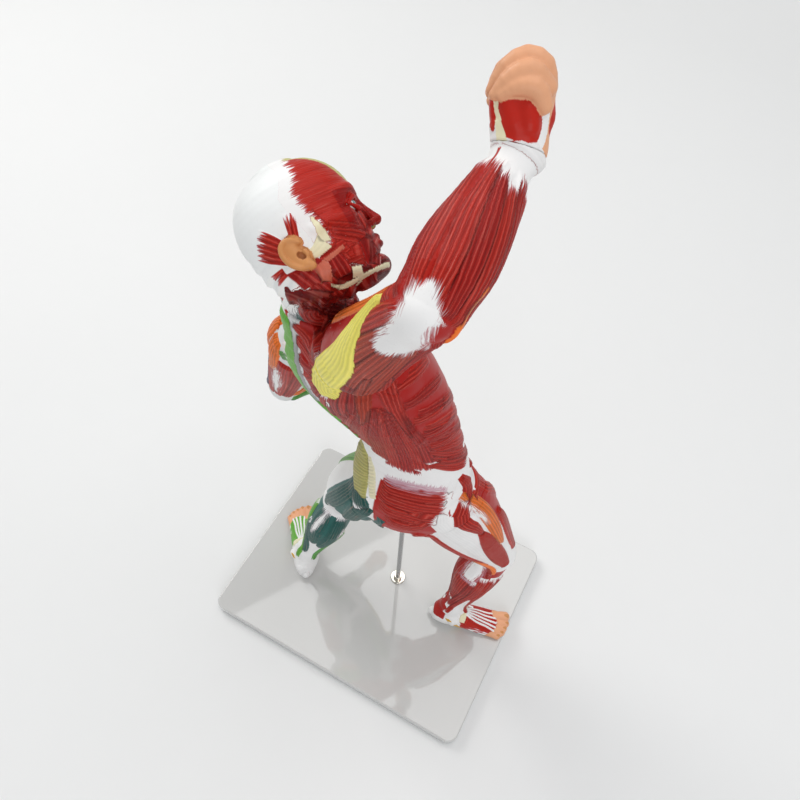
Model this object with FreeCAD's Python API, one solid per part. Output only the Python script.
import FreeCAD, Part
import math
import os

os.makedirs("parts", exist_ok=True)
V = FreeCAD.Vector

# ---------------------------------------------------------------- driving dimensions (mm)
BASE_L = 240.0          # base plate, long side (X)
BASE_W = 189.0          # base plate, short side (Y)
BASE_H = 10.0           # base plate height, top face at z = BASE_H
BASE_R = 9.0            # plan corner radius
BASE_EDGE = 1.2         # rounding of the top edge
WALL = 3.0              # wall and top thickness of the moulded tray
COVER_T = 2.0           # bottom cover thickness
COVER_GAP = 0.3         # cover to tray wall
SCREW_R = 1.5           # cover screw shank radius
SCREW_HEAD_R = 2.9      # countersunk head radius
SCREW_INSET = 15.0      # screw centres, in from the plate's edges
ACCESS_R = 10.0         # access hole round the nut

ROD_R = 2.0             # steel support rod radius
ROD_X, ROD_Y = 12.7, 7.9
ROD_TOP = 262.0
ROD_FIT = 0.05          # radial running clearance in the socket and the nut
COLLAR_R1, COLLAR_H1 = 6.75, 2.0
COLLAR_R2, COLLAR_H2 = 4.0, 5.0
NUT_AF, NUT_H = 7.0, 3.2
WASHER_R, WASHER_T = 4.5, 0.8
SOCKET_R = 4.0
SOCKET_Z0, SOCKET_Z1 = 209.0, 266.0

PIN_R = 1.5             # locating pin in each sole
PIN_FIT = 0.08
PIN_Z0, PIN_Z1 = 4.6, 17.0
PLUG_R = 5.0            # glued locating plugs between the castings
PLUG_HALF = 9.0

# joint centres of the posed figure
PEL = V(21.9, -9.1, 239.0)
R_HIP, R_KNEE, R_ANK = V(45.9, -4.6, 237.7), V(86.5, 20.4, 136.9), V(69.3, 1.4, 30.8)
L_HIP, L_KNEE, L_ANK = V(-0.7, -15.2, 237.1), V(-38.9, 1.9, 134.0), V(-67.9, -17.8, 30.7)
R_SHO, R_ELB, R_WRI = V(4.4, -37.6, 395.5), V(42.0, -55.1, 463.5), V(45.0, 2.0, 489.0)
L_SHO, L_ELB, L_WRI = V(-58.3, -0.2, 324.4), V(-83.6, 10.7, 250.2), V(-59.6, 73.8, 243.3)
R_HAND, L_HAND = V(-0.30, 0.47, 0.83), V(0.35, 0.93, -0.10)
HEAD_C = V(-37.8, -13.9, 429.1)
HEAD_F, HEAD_U = V(0.57, 0.77, 0.30), V(-0.79, 0.40, 0.47)
R_FOOT, R_FDIR = V(71.0, -1.0, 0.0), V(0.951, 0.308, 0.0)
L_FOOT, L_FDIR = V(-71.0, -20.0, 0.0), V(-0.61, 0.79, 0.0)

# separating planes between the castings: point and outward normal
R_HIP_P, R_HIP_N = V(41.0, -5.5, 224.0), V(0.66, 0.13, -0.74)
L_HIP_P, L_HIP_N = V(3.0, -14.0, 223.0), V(-0.66, -0.10, -0.74)
R_SHO_P, R_SHO_N = V(2.0, -35.0, 390.5), V(0.70, -0.31, 0.64)
L_SHO_P, L_SHO_N = V(-53.5, -1.0, 328.0), V(-0.72, 0.32, -0.62)
NECK_P, NECK_N = V(-31.5, -16.0, 392.0), V(0.05, -0.05, 1.0)


# ---------------------------------------------------------------- helpers
def unit(v):
    return V(v).normalize()


def section(c, right, front, wr, wl, df, db, n=16):
    """Closed smooth outline: four quarter ellipses about c."""
    pts = []
    for k in range(n):
        a = 2.0 * math.pi * k / n
        x = math.cos(a) * (wr if math.cos(a) >= 0 else wl)
        y = math.sin(a) * (df if math.sin(a) >= 0 else db)
        pts.append(c + right * x + front * y)
    curve = Part.BSplineCurve()
    curve.interpolate(Points=pts, PeriodicFlag=True)
    return Part.Wire(curve.toShape())


def loft(wires):
    return Part.makeLoft(wires, True, False)


def frame_for(axis, right_hint):
    """Right and front directions of a section whose normal is axis."""
    axis = unit(axis)
    right = unit(right_hint - axis * right_hint.dot(axis))
    front = unit(axis.cross(right))
    return right, front


def limb(stations, right_hint):
    """Loft of outlines: each station is (point, axis, wr, wl, df, db)."""
    wires = []
    for p, axis, wr, wl, df, db in stations:
        r, f = frame_for(axis, right_hint)
        wires.append(section(p, r, f, wr, wl, df, db))
    return loft(wires)


def slab(p, n, size=64.0, depth=70.0):
    """Block on the n side of the plane through p."""
    box = Part.makeBox(size, size, depth, V(-size / 2, -size / 2, 0))
    box.Placement = FreeCAD.Placement(p, FreeCAD.Rotation(V(0, 0, 1), unit(n)))
    return box


def rod(p, axis, r, length):
    return Part.makeCylinder(r, length, p, unit(axis))


def plug(p, n, r=PLUG_R, half=PLUG_HALF):
    return rod(p - unit(n) * half, n, r, 2.0 * half)


def one(shape):
    """Single largest solid of a boolean result, cleaned."""
    s = shape.removeSplitter()
    solids = sorted(s.Solids, key=lambda q: -q.Volume)
    return solids[0]


# ---------------------------------------------------------------- stand
def rounded_plate(lx, ly, z0, z1, r):
    box = Part.makeBox(lx, ly, z1 - z0, V(-lx / 2, -ly / 2, z0))
    edges = [e for e in box.Edges if abs(e.tangentAt(e.FirstParameter).z) > 0.9]
    return box.makeFillet(r, edges)


screw_xy = [(sx * (BASE_L / 2 - SCREW_INSET), sy * (BASE_W / 2 - SCREW_INSET))
            for sx in (-1, 1) for sy in (-1, 1)]
pin_r = R_FOOT + R_FDIR * 14.0
pin_l = L_FOOT + L_FDIR * 14.0

shell = rounded_plate(BASE_L, BASE_W, 0, BASE_H, BASE_R)
top_edges = [e for e in shell.Edges
             if all(abs(v.Point.z - BASE_H) < 1e-6 for v in e.Vertexes)]
shell = shell.makeFillet(BASE_EDGE, top_edges)
inner = rounded_plate(BASE_L - 2 * WALL, BASE_W - 2 * WALL, -1, BASE_H - WALL, BASE_R - WALL)
shell = shell.cut(inner)
for x, y in screw_xy:
    shell = shell.fuse(Part.makeCylinder(4.0, BASE_H - WALL - COVER_T + 0.5, V(x, y, COVER_T)))
for p in (pin_r, pin_l):
    shell = shell.fuse(Part.makeCylinder(4.0, 4.0, V(p.x, p.y, 4.0)))
for x, y in screw_xy:
    shell = shell.cut(Part.makeCylinder(SCREW_R + 0.05, 5.0, V(x, y, COVER_T - 0.5)))
for p in (pin_r, pin_l):
    shell = shell.cut(Part.makeCylinder(PIN_R + PIN_FIT, 20.0, V(p.x, p.y, 0)))
shell = shell.cut(Part.makeCylinder(ROD_R + 0.1, 20.0, V(ROD_X, ROD_Y, 0)))
shell = one(shell)

cover_gap = WALL + COVER_GAP
cover = rounded_plate(BASE_L - 2 * cover_gap, BASE_W - 2 * cover_gap, 0, COVER_T, BASE_R - WALL)
cover = cover.cut(Part.makeCylinder(ACCESS_R, 10, V(ROD_X, ROD_Y, -2)))
for x, y in screw_xy:
    cover = cover.cut(Part.makeCylinder(SCREW_R + 0.1, 10, V(x, y, -2)))
    cover = cover.cut(Part.makeCone(SCREW_HEAD_R + 0.35, SCREW_R + 0.1, 1.75, V(x, y, -0.05)))
cover = one(cover)

screws = []
for x, y in screw_xy:
    s = Part.makeCylinder(SCREW_R, 6.2, V(x, y, 0.2))
    s = s.fuse(Part.makeCone(SCREW_HEAD_R, SCREW_R, 1.4, V(x, y, 0.2)))
    s = s.cut(Part.makeBox(3.6, 0.7, 0.8, V(x - 1.8, y - 0.35, 0.1)))
    s = s.cut(Part.makeBox(0.7, 3.6, 0.8, V(x - 0.35, y - 1.8, 0.1)))
    screws.append(one(s))
cover_screws = Part.makeCompound(screws)

nut_top = BASE_H - WALL - WASHER_T
support_rod = Part.makeCylinder(ROD_R, ROD_TOP - 3.0, V(ROD_X, ROD_Y, 3.0))
ends = [e for e in support_rod.Edges if e.Curve.TypeId == "Part::GeomCircle"]
support_rod = support_rod.makeChamfer(0.4, ends)

collar = Part.makeCylinder(COLLAR_R1, COLLAR_H1, V(ROD_X, ROD_Y, BASE_H))
collar = collar.fuse(Part.makeCylinder(COLLAR_R2, COLLAR_H1 + COLLAR_H2, V(ROD_X, ROD_Y, BASE_H)))
collar = one(collar)
rims = [e for e in collar.Edges if e.Curve.TypeId == "Part::GeomCircle"
        and e.Vertexes[0].Point.z > BASE_H + 0.5
        and not (abs(e.Curve.Radius - COLLAR_R2) < 0.01 and e.Vertexes[0].Point.z < BASE_H + 3)]
collar = collar.makeFillet(0.6, rims)
collar = one(collar.cut(Part.makeCylinder(ROD_R + 0.02, 20, V(ROD_X, ROD_Y, BASE_H - 1))))

washer = Part.makeCylinder(WASHER_R, WASHER_T, V(ROD_X, ROD_Y, nut_top))
washer = one(washer.cut(Part.makeCylinder(ROD_R + 0.1, 5, V(ROD_X, ROD_Y, nut_top - 1))))

hexpts = []
for k in range(7):
    a = math.radians(60 * k + 30)
    rr = NUT_AF / 2 / math.cos(math.radians(30))
    hexpts.append(V(ROD_X + rr * math.cos(a), ROD_Y + rr * math.sin(a), nut_top - NUT_H))
nut = Part.Face(Part.makePolygon(hexpts)).extrude(V(0, 0, NUT_H))
nut_cone = Part.makeCone(NUT_AF / 2 * 0.97, NUT_AF / 2 * 0.97 + NUT_H * 1.7, NUT_H,
                         V(ROD_X, ROD_Y, nut_top - NUT_H))
nut = nut.common(nut_cone)
nut = one(nut.cut(Part.makeCylinder(ROD_R + ROD_FIT, 10, V(ROD_X, ROD_Y, 0))))

socket = Part.makeCylinder(SOCKET_R, SOCKET_Z1 - SOCKET_Z0, V(ROD_X, ROD_Y, SOCKET_Z0))
socket = socket.cut(Part.makeCylinder(ROD_R + ROD_FIT, ROD_TOP + 1 - SOCKET_Z0 + 1,
                                      V(ROD_X, ROD_Y, SOCKET_Z0 - 1)))
socket = one(socket)


def pin(p):
    c = Part.makeCylinder(PIN_R, PIN_Z1 - PIN_Z0, V(p.x, p.y, PIN_Z0))
    e = [q for q in c.Edges if q.Curve.TypeId == "Part::GeomCircle"]
    return c.makeChamfer(0.3, e)


right_foot_pin = pin(pin_r)
left_foot_pin = pin(pin_l)

# ---------------------------------------------------------------- torso
UP = V(0, 0, 1)
PR = V(0.975, 0.22, 0.01)          # pelvis, figure's right
CR = V(0.784, -0.350, 0.512)       # chest, figure's right


def mix(a, b, t):
    return unit(a * (1 - t) + b * t)


torso_rows = [
    # point, turn from pelvis to chest, right, left, front, back
    (V(21.5, -5.0, 198.0), 0.0, 10, 10, 14, 13),
    (V(21.7, -6.0, 204.0), 0.0, 20, 20, 21, 20),
    (V(21.9, -7.5, 214.0), 0.0, 31, 31, 25, 27),
    (V(22.0, -8.5, 226.0), 0.0, 38, 38, 26, 31),
    (V(21.9, -9.1, 240.0), 0.03, 42, 42, 26, 31),
    (V(21.4, -7.6, 258.0), 0.08, 40, 41, 25, 26),
    (V(20.5, -6.3, 272.0), 0.18, 36, 37, 24, 21),
    (V(18.5, -5.8, 286.0), 0.30, 33, 34, 24, 20),
    (V(12.0, -6.3, 306.0), 0.55, 35, 36, 26, 22),
    (V(3.7, -7.9, 325.0), 0.80, 40, 40, 29, 25),
    (V(-6.5, -10.0, 342.0), 1.0, 44, 43, 31, 27),
    (V(-16.0, -13.0, 356.0), 1.0, 46, 44, 28, 26),
    (V(-23.5, -15.0, 367.0), 1.0, 41, 38, 20, 23),
    (V(-28.5, -15.7, 376.0), 1.0, 27, 25, 16, 19),
    (V(-31.0, -16.0, 386.0), 1.0, 18, 18, 15, 17),
    (V(-31.0, -16.5, 398.0), 1.0, 16, 16, 15, 16),
]
spine = [row[0] for row in torso_rows]
wires = []
for i, (p, t, wr, wl, df, db) in enumerate(torso_rows):
    a = spine[max(i - 1, 0)]
    b = spine[min(i + 1, len(spine) - 1)]
    axis = unit(b - a)
    if i > len(spine) - 3:
        axis = unit(V(0.02, -0.05, 1.0))
    if i < 4:
        axis = UP
    r, f = frame_for(axis, mix(PR, CR, t))
    wires.append(section(p, r, f, wr, wl, df, db))
torso = loft(wires)
yoke_c = V(-22.0, -15.5, 362.0)
for sho, n, rr in ((R_SHO, R_SHO_N, 18.0), (L_SHO, L_SHO_N, 16.5)):
    d = unit(sho - yoke_c)
    far = sho + unit(n) * 6.0
    yoke = limb([(yoke_c, d, rr - 1.0, rr - 1.0, rr, rr),
                 (yoke_c + (sho - yoke_c) * 0.5, d, rr, rr, rr + 0.5, rr + 0.5),
                 (sho, unit(d + n), rr, rr, rr + 1.0, rr + 1.0),
                 (far, n, rr, rr, rr + 0.5, rr + 0.5)], UP)
    torso = torso.fuse(yoke)

for p, n in ((R_HIP_P, R_HIP_N), (L_HIP_P, L_HIP_N)):
    torso = torso.cut(slab(p, n, 110.0, 80.0))
for p, n in ((R_SHO_P, R_SHO_N), (L_SHO_P, L_SHO_N), (NECK_P, NECK_N)):
    torso = torso.cut(slab(p, n))
torso = one(torso)

# ---------------------------------------------------------------- legs


def leg(hip, knee, ank, right_hint, m):
    d1, d2 = unit(knee - hip), unit(ank - knee)
    dk = unit(d1 + d2)

    def th(t):
        return hip + (knee - hip) * t

    def sh(t):
        return knee + (ank - knee) * t
    # m is +1 on the right leg and -1 on the left: outer and inner half widths swap
    rows = [(th(-0.20), d1, 11, 13, 14, 15), (th(-0.12), d1, 19, 18, 21, 22),
            (th(0.02), d1, 25, 22, 26, 28.5), (th(0.14), d1, 26, 23, 27, 29.5),
            (th(0.28), d1, 25, 22, 26, 26), (th(0.50), d1, 22, 20, 23, 22),
            (th(0.72), d1, 18, 17.5, 19, 18), (th(0.88), d1, 15.5, 15.5, 16.5, 15.5),
            (knee, dk, 14.5, 14.5, 15.5, 14.5), (sh(0.12), d2, 14.5, 14, 13.5, 15.5),
            (sh(0.28), d2, 15, 14.5, 12, 18.5), (sh(0.45), d2, 14, 13.5, 11.5, 16.5),
            (sh(0.65), d2, 11, 10.5, 10.5, 12), (sh(0.85), d2, 8.8, 8.5, 9.2, 10),
            (sh(1.02), d2, 9, 9, 9.5, 10.5)]
    st = []
    for p, ax, wo, wi, df, db in rows:
        a, b = (wo, wi) if m > 0 else (wi, wo)
        # the section's front follows axis x right, so a downward axis faces backwards
        st.append((p, ax, a, b, db, df))
    return limb(st, right_hint)


R_KDIR, L_KDIR = V(0.82, 0.57, 0), V(0.0, 1.0, 0)
right_leg = leg(R_HIP, R_KNEE, R_ANK, V(0.57, -0.82, 0), 1)
left_leg = leg(L_HIP, L_KNEE, L_ANK, V(1.0, 0.1, 0), -1)
right_leg = right_leg.cut(slab(R_HIP_P, R_HIP_N * -1, 130.0, 90.0))
left_leg = left_leg.cut(slab(L_HIP_P, L_HIP_N * -1, 130.0, 90.0))
ANK_Z = BASE_H + 24.0
for_right = slab(V(R_ANK.x, R_ANK.y, ANK_Z), V(0, 0, -1))
for_left = slab(V(L_ANK.x, L_ANK.y, ANK_Z), V(0, 0, -1))
right_leg = one(right_leg.cut(for_right))
left_leg = one(left_leg.cut(for_left))


def foot(o, d, ank, m):
    d = unit(d)
    lat = unit(d.cross(UP))
    rows = [(-17.0, 3.5, 13.0, 23.0), (-14.5, 7.0, 8.5, 27.5), (-7.0, 9.5, 7.5, 33.0),
            (3.0, 10.0, 7.5, 35.0), (13.0, 10.5, 8.0, 31.0), (25.0, 11.5, 8.0, 24.5),
            (37.0, 12.0, 8.0, 19.5), (44.0, 11.5, 8.0, 17.0), (48.0, 9.0, 8.5, 15.5)]
    w = []
    for s, hw, zb, zt in rows:
        c = V(o.x + d.x * s, o.y + d.y * s, (zb + zt) / 2)
        w.append(section(c, lat, UP, hw, hw, (zt - zb) / 2, (zt - zb) / 2))
    f = loft(w)
    neck = limb([(V(ank.x, ank.y, BASE_H + 8), UP, 9.5, 9.5, 11, 11),
                 (V(ank.x, ank.y, BASE_H + 16), UP, 9.5, 9.5, 11, 11),
                 (V(ank.x, ank.y, ANK_Z + 0.001), UP, 9.2, 9.2, 10.0, 10.0)], lat)
    f = f.cut(slab(V(ank.x, ank.y, ANK_Z), UP))
    f = f.fuse(neck.cut(slab(V(ank.x, ank.y, ANK_Z), UP)))
    for i in range(5):
        r = (4.6, 3.5, 3.4, 3.3, 3.1)[i]
        s = (48.5, 49.5, 48.0, 46.0, 43.0)[i]
        y = (-7.6, -2.2, 2.2, 6.2, 9.6)[i] * m
        f = f.fuse(Part.makeSphere(r, V(o.x, o.y, BASE_H + r - 0.2) + d * s + lat * y))
    f = f.cut(Part.makeBox(160, 160, 30, V(o.x - 80, o.y - 80, BASE_H - 30)))
    return one(f)


right_foot = foot(R_FOOT, R_FDIR, R_ANK, 1)
left_foot = foot(L_FOOT, L_FDIR, L_ANK, -1)
right_foot = one(right_foot.cut(rod(V(pin_r.x, pin_r.y, 0), UP, PIN_R, PIN_Z1)))
left_foot = one(left_foot.cut(rod(V(pin_l.x, pin_l.y, 0), UP, PIN_R, PIN_Z1)))

# ---------------------------------------------------------------- arms


def arm(sho, elb, wri, right_hint):
    d1, d2 = unit(elb - sho), unit(wri - elb)
    l1, l2 = (elb - sho).Length, (wri - elb).Length
    upper = limb([(sho + d1 * (l1 * t), d1, a, a, b, b) for t, a, b in
                  ((-0.15, 14, 14), (0.0, 17, 18), (0.18, 17.5, 18), (0.40, 15, 16.5),
                   (0.62, 13.5, 15), (0.82, 12.5, 13.5), (1.0, 11.5, 12))], right_hint)
    lower = limb([(elb + d2 * (l2 * t), d2, a, a, b, b) for t, a, b in
                  ((-0.05, 10.5, 10.5), (0.12, 13, 13.5), (0.30, 14.3, 13.5), (0.52, 12.8, 12),
                   (0.74, 10, 9.5), (0.90, 8.6, 8), (1.02, 8.4, 7.8))], right_hint)
    return upper.fuse(lower).fuse(Part.makeSphere(12.6, elb))


def hand_plane(elb, wri, h):
    return unit(unit(wri - elb) + unit(h))


def fist(wri, h, across, thumb):
    """Closed hand: palm block, four curled fingers and the thumb over them."""
    h = unit(h)
    a, b = frame_for(h, across)
    body = limb([(wri + h * s, h, w, w, t1, t2) for s, w, t1, t2 in
                 ((-1.0, 8.2, 7.6, 7.6), (3.0, 9.0, 8.2, 8.2), (9.0, 11.3, 9.6, 9.6),
                  (16.0, 12.2, 10.4, 10.4), (24.0, 12.0, 10.2, 10.2), (29.0, 10.5, 9.0, 9.0),
                  (31.5, 7.0, 6.0, 6.0))], across)
    for i in range(4):
        s = 27.0 - 0.7 * abs(i - 1)
        x = -8.7 + 5.8 * i
        p = wri + h * s + a * x
        body = body.fuse(Part.makeSphere(3.9, p + b * 5.5))
        body = body.fuse(rod(p + b * 5.5, h * -1 + b * 0.25, 3.3, 11.0))
    q = wri + h * 10.0 + b * 9.0 + a * (thumb * 8.0)
    body = body.fuse(rod(q, h * 0.75 - a * thumb * 0.65 + b * 0.2, 3.6, 12.0))
    body = body.fuse(Part.makeSphere(3.6, q))
    return body


right_arm = arm(R_SHO, R_ELB, R_WRI, V(0.95, 0.1, -0.3))
left_arm = arm(L_SHO, L_ELB, L_WRI, V(0.9, -0.35, -0.2))
nrw = hand_plane(R_ELB, R_WRI, R_HAND)
nlw = hand_plane(L_ELB, L_WRI, L_HAND)
right_fist = fist(R_WRI, R_HAND, V(0.878, 0.478, 0.036), -1)
left_fist = fist(L_WRI, L_HAND, V(0.2, 0.0, 1.0), 1)
right_arm = right_arm.cut(slab(R_SHO_P, R_SHO_N * -1)).cut(slab(R_WRI, nrw))
left_arm = left_arm.cut(slab(L_SHO_P, L_SHO_N * -1)).cut(slab(L_WRI, nlw))
right_arm, left_arm = one(right_arm), one(left_arm)
right_fist = one(right_fist.cut(slab(R_WRI, nrw * -1)))
left_fist = one(left_fist.cut(slab(L_WRI, nlw * -1)))

# ---------------------------------------------------------------- head
HU = unit(HEAD_U)
HR, _ = frame_for(HU, HEAD_F.cross(HEAD_U))
HF = unit(HU.cross(HR))


def hp(x, y, z):
    return HEAD_C + HR * x + HF * y + HU * z


head_rows = [(27.8, 0, 4.0, 5, 6), (26.2, 0, 9.5, 11.5, 13), (22.5, 0, 15, 18, 20),
             (16, 0, 19.2, 23.2, 25.2), (8, 0, 21.4, 26, 28), (0, 0, 21.8, 26.8, 28.4),
             (-7, 0, 20.8, 26.5, 26.5), (-13, 2, 19.2, 25, 23), (-19, 6, 17.5, 20.5, 18),
             (-25, 10.5, 15.2, 15.5, 14), (-31, 14, 11.5, 11.5, 10), (-35.5, 16, 7, 7.5, 6.5)]
head = loft([section(hp(0, cy, z), HR, HF, w, w, df, db) for z, cy, w, df, db in head_rows])
nose = loft([section(hp(0, y, z), HR, HF, w, w, d, d) for z, y, w, d in
             ((-16.0, 26.0, 1.8, 2.0), (-14.0, 27.2, 4.0, 4.2), (-10.5, 27.6, 3.2, 3.8),
              (-5.0, 26.4, 2.2, 2.6), (1.0, 25.2, 1.6, 1.8))])
head = head.fuse(nose)
for m in (-1, 1):
    w = [section(hp(m * x, -3 - 0.15 * z, z - 7), HR, HF, 2.0 * k, 2.0 * k, 4.6 * k, 4.6 * k)
         for z, x, k in ((-9, 19.6, 0.45), (-6, 20.4, 0.8), (0, 21.6, 1.0), (5, 22.2, 1.0),
                         (8.5, 22.0, 0.5))]
    head = head.fuse(loft(w))
neck_top = hp(0, -7, -14)
nd = unit(neck_top - NECK_P)
upper_neck = limb([(NECK_P - nd * 4.0, nd, 17, 17, 15.5, 16.5),
                   (NECK_P + nd * 6.0, nd, 16, 16, 15, 16),
                   (NECK_P + nd * 16.0, nd, 16, 16, 15, 15.5),
                   (NECK_P + nd * 27.0, nd, 15, 15, 14, 14)], CR)
head = one(head.fuse(upper_neck).cut(slab(NECK_P, NECK_N * -1)))

# ---------------------------------------------------------------- glued plugs and pin sockets
plugs = {
    "neck_plug": (plug(NECK_P, NECK_N), "torso", "head"),
    "right_shoulder_plug": (plug(R_SHO_P, R_SHO_N), "torso", "right_arm"),
    "left_shoulder_plug": (plug(L_SHO_P, L_SHO_N), "torso", "left_arm"),
    "right_hip_plug": (plug(R_HIP_P, R_HIP_N, 8.0, 10.0), "torso", "right_leg"),
    "left_hip_plug": (plug(L_HIP_P, L_HIP_N, 8.0, 10.0), "torso", "left_leg"),
}
SPIGOT_R, SPIGOT_L = 4.0, 8.0
castings = {"torso": torso, "head": head, "right_arm": right_arm, "left_arm": left_arm,
            "right_leg": right_leg, "left_leg": left_leg, "right_fist": right_fist,
            "left_fist": left_fist, "right_foot": right_foot, "left_foot": left_foot}
for shape, a, b in plugs.values():
    castings[a] = castings[a].cut(shape)
    castings[b] = castings[b].cut(shape)

# spigots moulded on the fists and on the lower legs
for name, host, p, n in (("right_fist", "right_arm", R_WRI, nrw * -1),
                         ("left_fist", "left_arm", L_WRI, nlw * -1),
                         ("right_foot", "right_leg", V(R_ANK.x, R_ANK.y, ANK_Z), UP),
                         ("left_foot", "left_leg", V(L_ANK.x, L_ANK.y, ANK_Z), UP)):
    sp = rod(p - unit(n) * 3.0, n, SPIGOT_R, SPIGOT_L + 3.0)
    castings[name] = castings[name].fuse(sp)
    castings[host] = castings[host].cut(sp)

castings["torso"] = castings["torso"].cut(
    Part.makeCylinder(SOCKET_R, SOCKET_Z1 - 150.0, V(ROD_X, ROD_Y, 150.0)))

out = {"base_shell": shell, "base_cover": cover, "cover_screws": cover_screws,
       "support_rod": support_rod, "rod_collar": collar, "rod_washer": washer, "rod_nut": nut,
       "rod_socket": socket, "right_foot_pin": right_foot_pin, "left_foot_pin": left_foot_pin}
for k, s in castings.items():
    out[k] = one(s)
for k, s in plugs.items():
    out[k] = one(s[0])

for k, s in out.items():
    s.exportStep(os.path.join("parts", k + ".step"))
